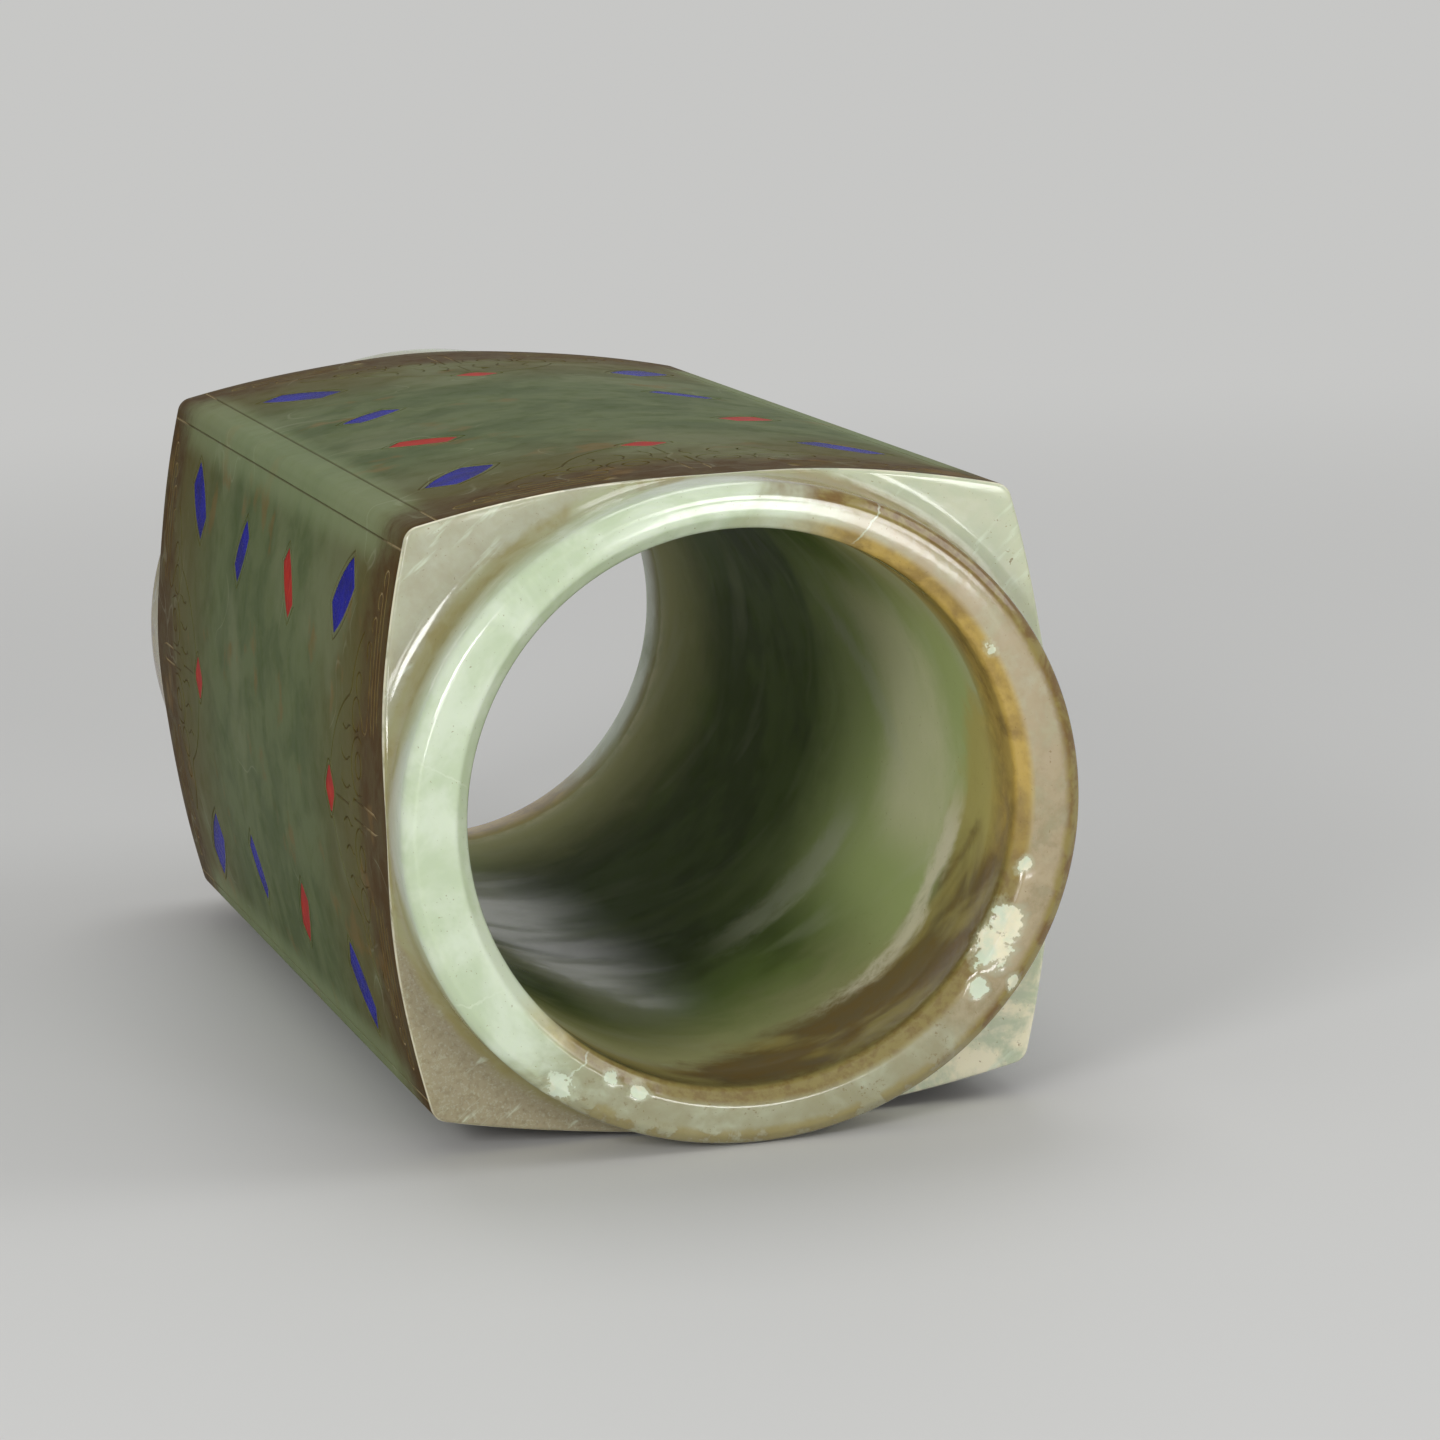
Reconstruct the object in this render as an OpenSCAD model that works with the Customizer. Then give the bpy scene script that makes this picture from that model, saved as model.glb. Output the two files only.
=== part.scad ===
// Jade cong: a square tube with bulged faces, an oval collar at each end and a bore right through.
// Millimetres. It lies on its lower face: the bore runs along Y, and +Z is up.
// The near end is towards -Y. The origin is on the ground, under the middle of the tube.

/* [Shaft] */
// Width across the two side faces, at mid height
body_w = 69.8; // [67:0.2:80]
// Height across the upper and lower faces, at mid width
body_h = 66.6; // [64:0.2:78]
// Length of the square shaft, from shoulder to shoulder
shaft_l = 129; // [110:1:200]
// How far the two side faces swell out at mid height, beyond the corners
side_bulge = 3.9; // [2:0.1:5.5]
// How far the upper and lower faces swell out at mid width
top_bulge = 3.6; // [2:0.1:5.5]
// Radius of the four long corners
corner_r = 1.8; // [1:0.1:3]
// Bevel around the ends of the shaft, where the faces meet the shoulders
arris_bevel = 0.4; // [0.2:0.05:0.8]

/* [Collars] */
// How far a collar stands out of its shoulders
collar_h = 9.5; // [6:0.5:16]
// Radius of the hollow fillet at the foot of a collar
collar_fillet = 3; // [1:0.1:4]
// Bevel around a collar's outer rim
collar_bevel = 1.1; // [0.5:0.1:2]
// How far a collar's wall stands back from the middles of the four faces
collar_inset = 0.15; // [0.1:0.05:1]

/* [Bore] */
// Thickness of the collars' wall where it is thinnest, above the bore
thin_wall = 4.65; // [3.5:0.05:10]
// How far the bore's axis lies above the middle of the tube
bore_lift = 0.5; // [0:0.1:1]
// Bevel around each mouth of the bore
lip_bevel = 1.5; // [0.5:0.1:2]

/* [Inlays] */
// Depth of the pockets, from the face down to their flat floor
pocket_depth = 1.3; // [0.8:0.1:2]
// Clearance between an inlay and its pocket's wall, filled by the cement
cement_gap = 0.08; // [0.04:0.01:0.15]
// How far an inlay's polished top lies below the face
inlay_sink = 0.05; // [0:0.01:0.2]

/* [Eyes] */
// Length of the slanted lapis eyes
eye_l = 9.4; // [6:0.1:11]
// Width of the eyes
eye_w = 4.8; // [3:0.1:6]
// Slant of the eyes, from straight across the face
eye_slant = 53; // [30:1:70]
// Distance of the eyes from the middle line of their face
eye_out = 20.4; // [14:0.1:22]
// Distance of the eyes from the nearer shoulder
eye_in = 23; // [18:0.5:28]

/* [Gems] */
// Length of the coral gems, which lie across the middle line
gem_l = 4.8; // [4:0.1:8]
// Width of the gems
gem_w = 4.2; // [2:0.1:5]
// Distance of the gems from the nearer shoulder
gem_in = 26; // [20:0.5:32]

/* [Leaves] */
// Length of the coral and lapis leaves beside the middle of the shaft
leaf_l = 7.2; // [5:0.1:9]
// Width of the leaves
leaf_w = 3.6; // [2:0.1:5]
// Slant of the leaves, from straight across the face
leaf_slant = 40; // [20:1:60]
// Distance of the leaves from the middle line of their face
leaf_out = 18; // [12:0.5:21]
// Distance of the leaves from the middle of the shaft's length
leaf_in = 13.5; // [10:0.5:20]

/* [Hidden] */
$fn = 96;
// Steps around the very large circles that the bulged faces are part of
face_steps = 720;
jade_colour = [0.62, 0.67, 0.53];
lapis_colour = [0.12, 0.14, 0.55];
coral_colour = [0.76, 0.26, 0.18];
// Overlap that joins two shapes of one solid, and overrun of a cut past a surface
lap = 1;
half_w = body_w / 2;
half_h = body_h / 2;
half_l = shaft_l / 2;
total_l = shaft_l + 2 * collar_h;
// Radius of the bore, which leaves the thin wall on the narrower way across
bore_r = min(half_w, half_h) - collar_inset - bore_lift - thin_wall;
// The sharp corner where two bulged faces would meet
corner_x = half_w - side_bulge;
corner_z = half_h - top_bulge;
// Radius of each bulged face, an arc through two corners and the middle of the face
side_r = arc_radius(corner_z, side_bulge);
top_r = arc_radius(corner_x, top_bulge);
// Middle of the long corner's arc, which touches the arcs of both faces from inside
corner_mid = arcs_meet(half_w - side_r, side_r - corner_r, half_h - top_r, top_r - corner_r);
// How far the foot of a collar's fillet stays inside the faces
foot_setback = collar_inset / 2;
// Share of a lozenge's half length and half width that is cut off at its corners
cut_share = 0.16;
// Share of its width that an oblong keeps at its two ends
end_share = 0.75;

FACES = ["top", "right", "bottom", "left"];
PIECES = ["near_eye_left", "near_eye_right", "near_gem", "coral_leaf_left", "coral_leaf_right",
          "lapis_leaf_left", "lapis_leaf_right", "far_eye_left", "far_eye_right", "far_gem"];

// Radius of an arc, from half its chord and its height over the chord
function arc_radius(half_chord, rise) = (half_chord * half_chord + rise * rise) / (2 * rise);

// Where a circle with centre [x, 0] and radius r meets one with centre [0, z] and radius s,
// in the quarter where both coordinates are positive
function arcs_meet(x, r, z, s) =
    let (gap = norm([x, z]), along = (r * r - s * s + gap * gap) / (2 * gap),
         aside = sqrt(r * r - along * along), to_z = [-x, z] / gap)
    [x, 0] + along * to_z + aside * [-to_z[1], to_z[0]];

// The point on a circle with centre c and radius r that lies beyond p
function beyond(c, p, r) = c + (p - c) * r / norm(p - c);

// Half size and bulge radius of a face: the upper and lower ones are even, the sides odd
function face_half(k) = k % 2 == 0 ? half_h : half_w;
function face_r(k) = k % 2 == 0 ? top_r : side_r;

// A round bar along Y, bevelled at both ends
module bar(r, l, bevel) {
    rotate([90, 0, 0]) rotate_extrude()
        polygon([[0, -l / 2], [r - bevel, -l / 2], [r, -l / 2 + bevel],
                 [r, l / 2 - bevel], [r - bevel, l / 2], [0, l / 2]]);
}

// Turns a shape made for the upper face to face k
module on_face(k) {
    rotate([0, 90 * k, 0]) children();
}

// Outline of the shaft, set back all round: four very large circles, one to a face,
// with their four sharp corners replaced by small circles that touch them from inside
module outline(setback) {
    difference() {
        intersection_for (k = [0:3])
            rotate(-90 * k) translate([0, face_half(k) - face_r(k)])
                circle(r = face_r(k) - setback, $fn = face_steps);
        for (sx = [-1, 1], sz = [-1, 1]) scale([sx, sz]) corner_waste(setback);
    }
    for (sx = [-1, 1], sz = [-1, 1])
        translate([sx * corner_mid[0], sz * corner_mid[1]]) circle(r = corner_r - setback);
}

// What lies outside a long corner, cut off between the points where its arc touches the faces
module corner_waste(setback) {
    side_touch = beyond([half_w - side_r, 0], corner_mid, side_r - setback);
    top_touch = beyond([0, half_h - top_r], corner_mid, top_r - setback);
    polygon([side_touch, top_touch, [top_touch[0], half_h], [half_w, half_h], [half_w, side_touch[1]]]);
}

// The outline drawn out to length l
module block(l, setback) {
    rotate([90, 0, 0]) linear_extrude(height = l, center = true) outline(setback);
}

// The shaft: the block with the ends of its four faces bevelled
module shaft() {
    intersection() {
        block(shaft_l, 0);
        intersection_for (k = [0:3])
            on_face(k) translate([0, 0, face_half(k) - face_r(k)])
                bar(face_r(k), shaft_l, arris_bevel, $fn = face_steps);
    }
}

// A round collar: a wall with a bevel above and a hollow fillet at its foot. It stands on the
// plane z = 0, reaches down into the shaft, and its bevel runs on past the flat end to be cut.
module turned_collar(r) {
    rotate_extrude() difference() {
        union() {
            polygon([[0, -lap], [r, -lap], [r, collar_h - collar_bevel],
                     [r - collar_bevel - lap, collar_h + lap], [0, collar_h + lap]]);
            translate([r - lap, -lap]) square(lap + collar_fillet);
        }
        translate([r + collar_fillet, collar_fillet]) circle(r = collar_fillet);
    }
}

// Both collars, drawn in to the tube's height, which makes them slightly oval.
// A block cuts their flat ends, and the foot of the fillet where it would stand out of a face.
module collars() {
    a = half_w - collar_inset;
    b = half_h - collar_inset;
    intersection() {
        for (end = [-1, 1])
            translate([0, end * half_l, 0]) scale([1, 1, b / a]) rotate([-90 * end, 0, 0]) turned_collar(a);
        block(total_l, foot_setback);
    }
}

// The bore with its two bevelled mouths, as a cutting shape
module bore_cut() {
    translate([0, 0, bore_lift]) rotate([90, 0, 0]) {
        cylinder(r = bore_r, h = total_l + 2 * lap, center = true);
        for (end = [-1, 1])
            scale([1, 1, end]) translate([0, 0, total_l / 2 - lip_bevel])
                cylinder(r1 = bore_r, r2 = bore_r + lip_bevel + lap, h = lip_bevel + lap);
    }
}

// A lozenge with its four corners cut off a little
module lozenge(l, w) {
    x = l / 2;
    y = w / 2;
    polygon([[x, y * cut_share], [x * cut_share, y], [-x * cut_share, y], [-x, y * cut_share],
             [-x, -y * cut_share], [-x * cut_share, -y], [x * cut_share, -y], [x, -y * cut_share]]);
}

// An oblong with straight ends, whose long sides bow outwards
module oblong(l, w) {
    r = arc_radius(l / 2, w * (1 - end_share) / 2);
    intersection() {
        square([l, w], center = true);
        intersection_for (side = [-1, 1]) translate([0, side * (w / 2 - r)]) circle(r = r);
    }
}

// Where each inlay lies on its face: length, width, slant, place across, place along
function inlay_spec(piece) =
    let (side = piece_has(piece, "left") ? -1 : 1, end = piece_has(piece, "far") ? 1 : -1)
    piece_has(piece, "eye") ? [eye_l, eye_w, side * end * eye_slant, side * eye_out, end * (half_l - eye_in)]
    : piece_has(piece, "gem") ? [gem_l, gem_w, 0, 0, end * (half_l - gem_in)]
    : piece_has(piece, "coral") ? [leaf_l, leaf_w, side * leaf_slant, side * leaf_out, -leaf_in]
    : [leaf_l, leaf_w, -side * leaf_slant, side * leaf_out, leaf_in];

// Whether a piece's name holds a word
function piece_has(piece, word) =
    len([for (i = [0:1:len(piece) - len(word)])
        if ([for (j = [0:len(word) - 1]) piece[i + j]] == [for (c = word) c]) i]) > 0;

// A plug with a piece's outline, square to face k at its place, from its flat floor up past
// the face. grow widens the outline all round.
module plug(k, piece, grow) {
    r = face_r(k);
    spec = inlay_spec(piece);
    on_face(k) translate([0, spec[4], face_half(k) - r]) rotate([0, asin(spec[3] / r), 0])
        translate([0, 0, r - pocket_depth]) rotate([0, 0, spec[2]])
            linear_extrude(height = pocket_depth + lap)
                if (piece_has(piece, "gem")) lozenge(spec[0] + 2 * grow, spec[1] + 2 * grow);
                else oblong(spec[0] + 2 * grow, spec[1] + 2 * grow);
}

// The inside of face k, down to which an inlay is polished
module polished(k) {
    on_face(k) translate([0, 0, face_half(k) - face_r(k)])
        rotate([90, 0, 0])
            cylinder(r = face_r(k) - inlay_sink, h = shaft_l, center = true, $fn = face_steps);
}

// Lifts the tube from its bore's axis to the ground
module standing() {
    translate([0, 0, half_h]) children();
}

// The tube itself, carved from one block
module jade_tube() {
    color(jade_colour) standing() difference() {
        union() {
            shaft();
            collars();
        }
        bore_cut();
        for (k = [0:3], piece = PIECES) plug(k, piece, cement_gap);
    }
}

// One inlay, polished nearly flush with its bulged face
module inlay(k, piece) {
    stone = piece_has(piece, "gem") || piece_has(piece, "coral") ? coral_colour : lapis_colour;
    color(stone) standing() intersection() {
        plug(k, piece, 0);
        polished(k);
    }
}

jade_tube();
for (k = [0:3], piece = PIECES)
    inlay(k, piece);
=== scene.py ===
"""Looks of a jade cong tube: a square, bulged tube with two collars, a bore, carved lines and small inlays.

Lengths are written in millimetres and become metres when a mesh is made. The bore runs along Y,
the near end is towards -Y, +Z is up, and the tube lies on the ground.
"""
import math

import bpy
import numpy as np
from mathutils import Matrix, Vector
from mathutils.geometry import delaunay_2d_cdt

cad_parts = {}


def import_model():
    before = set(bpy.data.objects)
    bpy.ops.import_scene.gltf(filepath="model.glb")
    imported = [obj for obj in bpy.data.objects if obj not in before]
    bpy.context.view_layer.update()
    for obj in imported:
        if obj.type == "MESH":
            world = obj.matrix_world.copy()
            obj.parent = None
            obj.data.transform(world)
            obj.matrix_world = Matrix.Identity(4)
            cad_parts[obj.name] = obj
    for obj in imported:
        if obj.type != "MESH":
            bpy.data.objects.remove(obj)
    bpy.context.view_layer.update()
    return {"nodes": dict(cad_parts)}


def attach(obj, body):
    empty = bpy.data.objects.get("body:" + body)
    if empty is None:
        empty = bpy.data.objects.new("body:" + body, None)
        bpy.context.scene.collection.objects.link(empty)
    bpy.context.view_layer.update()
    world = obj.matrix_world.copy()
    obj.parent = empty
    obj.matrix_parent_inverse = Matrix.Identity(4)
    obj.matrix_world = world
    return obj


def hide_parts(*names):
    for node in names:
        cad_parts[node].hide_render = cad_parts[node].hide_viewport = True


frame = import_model()

MM = 0.001
# Shaft: half sizes, how far its faces bulge, and the radius of its long corners
HALF_W, HALF_H, HALF_L = 34.9, 33.3, 64.5
SIDE_BULGE, TOP_BULGE, CORNER_R = 3.9, 3.6, 1.8
# Collars: height, step back from the face, bevel, hollow fillet at the foot, and crown of the end ring
COLLAR_H, COLLAR_INSET, COLLAR_BEVEL, FILLET = 9.5, 0.15, 1.1, 3.0
CROWN = 0.22
BORE_R, BORE_LIFT, LIP_BEVEL = 28.0, 0.5, 1.5
# Radius of the worn edge round the shaft's ends
ARRIS = 0.45
# Pockets of the inlays, and the gaps beside and under an inlay
POCKET_DEPTH, CEMENT_GAP, FLOOR_GAP = 1.3, 0.08, 0.02
# Columns across a face and a corner, rows along the shaft and along the bore
FACE_COLS, CORNER_COLS = 96, 8
FACE_ROWS, BORE_ROWS = 64, 36
QUARTER_TURNS = ((1, 0), (0, 1), (-1, 0), (0, -1))

# ------------------------ outline of the shaft


def arc_radius(half_chord, rise):
    """Radius of an arc, from half its chord and its height over the chord."""
    return (half_chord ** 2 + rise ** 2) / (2 * rise)


SIDE_R = arc_radius(HALF_H - TOP_BULGE, SIDE_BULGE)
TOP_R = arc_radius(HALF_W - SIDE_BULGE, TOP_BULGE)


def corner_middle():
    """Middle of a long corner's arc: where the two faces' circles, shrunk by the corner radius, meet."""
    x, r, z, s = HALF_W - SIDE_R, SIDE_R - CORNER_R, HALF_H - TOP_R, TOP_R - CORNER_R
    gap = math.hypot(x, z)
    along = (r * r - s * s + gap * gap) / (2 * gap)
    aside = math.sqrt(r * r - along * along)
    return x - along * x / gap - aside * z / gap, along * z / gap - aside * x / gap


CORNER = corner_middle()


def face_sizes(k):
    """Half size and bulge radius of face k, and the corner arc's middle as that face sees it."""
    return (HALF_W, SIDE_R, CORNER[1], CORNER[0]) if k % 2 else (HALF_H, TOP_R, CORNER[0], CORNER[1])


def touch_angle(k):
    """Angle on face k's circle at which the corner arc takes over."""
    half, r, mid_u, mid_v = face_sizes(k)
    return math.atan2(mid_u, mid_v - (half - r))


def to_face(u, v, k):
    """Turns a place on the upper face, u across and v up, by k quarter turns to face k. Gives x and z."""
    c, s = QUARTER_TURNS[k]
    return u * c + v * s, v * c - u * s


def outline():
    """Places of the outline's columns, clockwise seen from the near end.

    A face is the arc u = r sin a, v = half - r + r cos a, and a corner the arc round its own middle."""
    places = []
    for k in range(4):
        half, r, mid_u, mid_v = face_sizes(k)
        a = np.linspace(-touch_angle(k), touch_angle(k), FACE_COLS + 1)
        b = np.linspace(touch_angle(k), math.pi / 2 - touch_angle((k + 1) % 4), CORNER_COLS + 1)[1:-1]
        u = np.concatenate([r * np.sin(a), mid_u + CORNER_R * np.sin(b)])
        v = np.concatenate([half - r + r * np.cos(a), mid_v + CORNER_R * np.cos(b)])
        places.append(np.stack(to_face(u, v, k), 1))
    return np.concatenate(places)


OUTLINE = outline()
COLS = len(OUTLINE)
PER_FACE = FACE_COLS + CORNER_COLS

# ------------------------ the two ends and the bore

# Where a collar nearly meets a face, the worn edge and the fillet's foot take at most these shares of the gap
ARRIS_SHARE, FOOT_SHARE = 0.45, 0.97
# Heights of the rows on a collar's wall and inside its mouth
WALL_HEIGHTS, MOUTH_HEIGHTS = (4.2, 5.6, 6.8), (6.6, 5.2, 3.4)
# How far edges are rounded off: the bevel's foot, both edges of the end ring, and the lip's foot in the bore
SOFT_FOOT, SOFT_RING, SOFT_MOUTH = 0.6, 0.3, 0.5


def fillet_height(d):
    """Height of the hollow fillet over the shoulder at distance d from the collar's wall."""
    d = np.clip(d, 0, FILLET)
    return FILLET - np.sqrt(FILLET ** 2 - (FILLET - d) ** 2)


def rounded(start, corner, end, reach, steps):
    """Points of a soft edge at a corner: (1 - t)^2 a + 2 t (1 - t) corner + t^2 b.

    Here a and b lie reach before and after the corner, on its two straight sides."""
    start, corner, end = (np.array(p, float) for p in (start, corner, end))
    a = corner + (start - corner) * reach / np.linalg.norm(start - corner)
    b = corner + (end - corner) * reach / np.linalg.norm(end - corner)
    t = np.linspace(0, 1, steps)[:, None]
    return (1 - t) ** 2 * a + 2 * t * (1 - t) * corner + t * t * b


def end_rows():
    """Rows from the shaft's edge over the shoulder, the fillet, the wall and the rim into the bore.

    Each row is x, z and the height over the shoulder plane for every column. The collar's oval is a circle
    drawn in along z, so a column keeps one direction in the undrawn plane. The end ring's height is
    top - CROWN (1 - w)^2, where w runs from 0 at the rim to 1 at the lip. Also gives each row's zone."""
    a, b = HALF_W - COLLAR_INSET, HALF_H - COLLAR_INSET
    squash = b / a
    x, z = OUTLINE[:, 0], OUTLINE[:, 1] / squash
    reach = np.hypot(x, z)
    dx, dz = x / reach, z / reach
    gap = reach - a
    soft = np.minimum(ARRIS, ARRIS_SHARE * gap)
    edge_h = fillet_height(gap) - soft
    rows, zones = [], []

    def oval(rho, h, zone):
        rows.append((rho * dx, rho * dz * squash, h + 0 * dx))
        zones.append(zone)

    def circle(r, h, zone):
        rows.append((r * dx, BORE_LIFT + r * dz, h + 0 * dx))
        zones.append(zone)

    for q in (0, 0.2, 0.4, 0.6, 0.8, 1):
        turn = q * math.pi / 2
        oval(reach - soft * (1 - math.cos(turn)),
             edge_h + (fillet_height(gap - soft) - edge_h) * math.sin(turn), "arris")
    flat = gap - soft
    foot = np.minimum(FILLET, FOOT_SHARE * flat)
    for i in range(1, 5):
        d = flat + (foot - flat) * i / 4
        oval(a + d, fillet_height(d), "shoulder")
    turn = np.arccos(1 - foot / FILLET)
    for i in range(1, 9):
        d = FILLET * (1 - np.cos(turn * (1 - i / 8)))
        oval(a + d, fillet_height(d), "shoulder")
    top, rim = COLLAR_H, COLLAR_H - CROWN
    bevel_foot, lip_foot, lip_out = top - COLLAR_BEVEL, top - LIP_BEVEL, BORE_R + LIP_BEVEL
    for h in WALL_HEIGHTS:
        oval(a, h, "wall")
    for d, h in rounded((0, 3), (0, bevel_foot), (-COLLAR_BEVEL, rim), SOFT_FOOT, 5):
        oval(a + d, h, "wall")
    for d, h in rounded((0, bevel_foot), (-COLLAR_BEVEL, rim), (-3, rim + 0.25), SOFT_RING, 5):
        oval(a + d, h, "rim")
    soft_lip = rounded((lip_out + 2, top - 0.04), (lip_out, top), (BORE_R, lip_foot), SOFT_RING, 5)
    rim_x, rim_z, _ = rows[-1]
    lip_x, lip_z = soft_lip[0, 0] * dx, BORE_LIFT + soft_lip[0, 0] * dz
    for i in range(1, 9):
        w = i / 9
        h = top - CROWN * (1 - w) ** 2
        rows.append((rim_x + (lip_x - rim_x) * w, rim_z + (lip_z - rim_z) * w, h + 0 * dx))
        zones.append("rim")
    for r, h in soft_lip:
        circle(r, h, "lip")
    for i in range(1, 4):
        w = i / 4
        circle(lip_out - LIP_BEVEL * w, top - LIP_BEVEL * w, "lip")
    for r, h in rounded((lip_out, top), (BORE_R, lip_foot), (BORE_R, 0), SOFT_MOUTH, 4):
        circle(r, h, "lip")
    for h in MOUTH_HEIGHTS:
        circle(BORE_R, h, "bore")
    return rows, zones


def ring_grid():
    """The two ends and the bore as one grid of places: near rows, the bore's own rows, far rows reversed."""
    rows, zones = end_rows()
    near = [np.stack([x, -(HALF_L + h), z], 1) for x, z, h in rows]
    far = [np.stack([x, HALF_L + h, z], 1) for x, z, h in rows[::-1]]
    last = HALF_L + rows[-1][2][0]
    x, z, _ = rows[-1]
    inner = [np.stack([x, 0 * x + y, z], 1) for y in np.linspace(-last, last, BORE_ROWS)[1:-1]]
    zones = zones + ["bore"] * len(inner) + zones[::-1]
    return np.stack(near + inner + far), zones


# Cells of the lattice of random values before it repeats, and how ragged that noise makes a chip's edge
LATTICE = 32
RAGGED = 0.3


def value_noise(p, size, seed):
    """Smooth seeded noise in -1..1: random values on a lattice of the given size, blended by smooth steps."""
    rng = np.random.default_rng(seed)
    table = rng.uniform(-1, 1, (LATTICE, LATTICE, LATTICE))
    q = p / size
    i = np.floor(q).astype(int)
    f = q - i
    f = f * f * (3 - 2 * f)
    total = 0
    for cx in (0, 1):
        for cy in (0, 1):
            for cz in (0, 1):
                w = (np.where(cx, f[..., 0], 1 - f[..., 0]) * np.where(cy, f[..., 1], 1 - f[..., 1])
                     * np.where(cz, f[..., 2], 1 - f[..., 2]))
                at = (i + (cx, cy, cz)) % LATTICE
                total = total + w * table[at[..., 0], at[..., 1], at[..., 2]]
    return total


# Chips in the rims: angle in degrees from +X towards +Z, distance from the bore's axis, reach, depth, and the
# end, -1 for the near one and 1 for the far one
CHIPS = ((-27.6, 29.5, 1.9, 0.28, -1), (-32.4, 29.2, 2.3, 0.32, -1), (-41.0, 30.4, 1.0, 0.18, -1),
         (-128.9, 33.0, 1.6, 0.30, -1), (-15.5, 29.4, 0.9, 0.18, -1), (29.4, 28.9, 0.8, 0.18, -1),
         (-114.7, 29.4, 1.0, 0.18, -1), (-120.5, 29.3, 0.9, 0.18, -1), (-36.5, 33.6, 0.9, 0.2, -1),
         (62.0, 30.4, 1.7, 0.25, 1), (67.5, 30.0, 1.4, 0.22, 1), (171.0, 32.8, 1.3, 0.22, 1),
         (-75.0, 29.6, 1.2, 0.2, 1))


def chip_place(angle, r, end):
    """Middle of a chip on an end's flat ring."""
    a = math.radians(angle)
    return np.array([r * math.cos(a), end * (HALF_L + COLLAR_H), BORE_LIFT + r * math.sin(a)])


def chipped(grid):
    """Presses small ragged hollows into the rims.

    With d the distance from a chip's middle over its ragged reach, the bowl is t^2 (3 - 2 t) of its depth,
    where t = 2.2 (1.15 - d) is kept between 0 and 1."""
    along = np.gradient(grid, axis=0)
    across = np.roll(grid, -1, 1) - np.roll(grid, 1, 1)
    normal = np.cross(along, across)
    normal /= np.linalg.norm(normal, axis=2, keepdims=True) + 1e-12
    ragged = 1 + RAGGED * value_noise(grid, 1.4, 11) + RAGGED * value_noise(grid, 0.7, 12)
    out = grid.copy()
    for angle, r, reach, depth, end in CHIPS:
        d = np.linalg.norm(grid - chip_place(angle, r, end), axis=2) / (reach * ragged)
        t = np.clip((1.15 - d) * 2.2, 0, 1)
        out -= normal * (depth * (t * t * (3 - 2 * t)))[..., None]
    return out


# ------------------------ inlays and carved lines on a face

EYE = dict(kind="oblong", length=9.4, width=4.8)
LEAF = dict(kind="oblong", length=7.2, width=3.6)
GEM = dict(kind="lozenge", length=4.8, width=4.2)
# Slants in degrees, places out from a face's middle line, and places in from the shaft's ends
EYE_SLANT, LEAF_SLANT = 53, 40
EYE_OUT, LEAF_OUT = 20.4, 18
EYE_IN, GEM_IN = 23, 26
# How far before and after mid-length the leaves lie
LEAF_ALONG = 13.5
# What a lozenge's cut corner keeps of its half size, and what an oblong's end keeps of its half width
CUT_SHARE, END_SHARE = 0.16, 0.75


def inlay_layout():
    """Outline, slant in degrees, place across and place along for each of a face's ten inlays."""
    out = {}
    for side, word in ((-1, "left"), (1, "right")):
        for end, near in ((-1, "near"), (1, "far")):
            out[f"{near}_eye_{word}"] = (EYE, side * end * EYE_SLANT, side * EYE_OUT, end * (HALF_L - EYE_IN))
        out[f"coral_leaf_{word}"] = (LEAF, side * LEAF_SLANT, side * LEAF_OUT, -LEAF_ALONG)
        out[f"lapis_leaf_{word}"] = (LEAF, -side * LEAF_SLANT, side * LEAF_OUT, LEAF_ALONG)
    for end, near in ((-1, "near"), (1, "far")):
        out[f"{near}_gem"] = (GEM, 0, 0, end * (HALF_L - GEM_IN))
    return out


LAYOUT = inlay_layout()


def inlay_outline(form, grow):
    """An inlay's outline, widened by grow, as points round its own middle, anticlockwise.

    A lozenge has four straight sides and cut corners. An oblong has straight ends, and its long sides
    are arcs y = w - r + sqrt(r^2 - x^2) that narrow to a share of its half width w at the ends."""
    l, w = form["length"] / 2 + grow, form["width"] / 2 + grow
    if form["kind"] == "lozenge":
        c = CUT_SHARE
        corners = np.array([[l, w * c], [l * c, w], [-l * c, w], [-l, w * c],
                            [-l, -w * c], [-l * c, -w], [l * c, -w], [l, -w * c]])
        parts = [a + (b - a) * np.linspace(0, 1, n, endpoint=False)[:, None]
                 for a, b, n in zip(corners, np.roll(corners, -1, 0), (5, 2, 5, 2, 5, 2, 5, 2))]
        return np.concatenate(parts)
    r = arc_radius(l, w * (1 - END_SHARE))
    x = np.linspace(l, -l, 14)
    side = np.stack([x, w - r + np.sqrt(r * r - x * x)], 1)
    y = np.linspace(side[-1, 1], -side[-1, 1], 6)[1:-1]
    half = np.concatenate([side, np.stack([0 * y - l, y], 1)])
    return np.concatenate([half, -half])


def turned(points, degrees):
    """Points turned about the origin, anticlockwise."""
    c, s = math.cos(math.radians(degrees)), math.sin(math.radians(degrees))
    return points @ np.array([[c, s], [-s, c]])


def arc(cx, cy, r, start, end, step=0.45):
    """Points of a circular arc, from one angle in degrees to another."""
    n = max(4, int(abs(math.radians(end - start)) * r / step) + 1)
    t = np.radians(np.linspace(start, end, n))
    return np.stack([cx + r * np.cos(t), cy + r * np.sin(t)], 1)


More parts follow.
